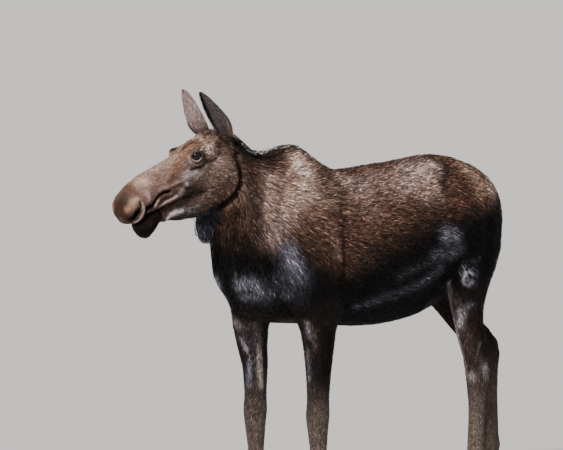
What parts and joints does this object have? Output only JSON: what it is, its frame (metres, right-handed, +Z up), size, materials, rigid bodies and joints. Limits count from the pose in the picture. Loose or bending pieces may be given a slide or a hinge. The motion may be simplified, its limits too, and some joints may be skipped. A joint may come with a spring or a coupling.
{
  "type": "moose",
  "caption": "Life-size cow moose standing still with the mouth slightly open, split into head, neck, trunk, legs, ears, eyes and hooves.",
  "frame": {"origin": "on the ground under the middle of the animal's outline", "axes": "+Z up, the moose faces -Y, its left side is at +X"},
  "size_m": [0.55, 2.4288, 2.0272],
  "materials": {
    "body_coat": "dense coarse coat, dark brown with grey and red-brown tips",
    "face_coat": "short close coat, grey-brown over the nose",
    "dark_coat": "long nearly black hair",
    "leg_coat": "short close coat, black-brown with paler fronts",
    "ear_coat": "short grey-brown coat with a dark rim",
    "hoof": "dull dark horn",
    "eye": "wet dark brown"
  },
  "bodies": {
    "root": {"bell": "dark_coat", "ear_left": "ear_coat", "ear_right": "ear_coat", "eye_left": "eye", "eye_right": "eye", "front_claw_left_inner": "hoof", "front_claw_left_outer": "hoof", "front_claw_right_inner": "hoof", "front_claw_right_outer": "hoof", "front_dewclaw_left_inner": "hoof", "front_dewclaw_left_outer": "hoof", "front_dewclaw_right_inner": "hoof", "front_dewclaw_right_outer": "hoof", "front_leg_left": "leg_coat", "front_leg_right": "leg_coat", "front_shank_left": "leg_coat", "front_shank_right": "leg_coat", "head": "face_coat", "hind_claw_left_inner": "hoof", "hind_claw_left_outer": "hoof", "hind_claw_right_inner": "hoof", "hind_claw_right_outer": "hoof", "hind_dewclaw_left_inner": "hoof", "hind_dewclaw_left_outer": "hoof", "hind_dewclaw_right_inner": "hoof", "hind_dewclaw_right_outer": "hoof", "hind_leg_left": "leg_coat", "hind_leg_right": "leg_coat", "hind_shank_left": "leg_coat", "hind_shank_right": "leg_coat", "lower_jaw": "face_coat", "neck": "body_coat", "tail": "dark_coat", "trunk": "body_coat"}
  },
  "joints": []
}
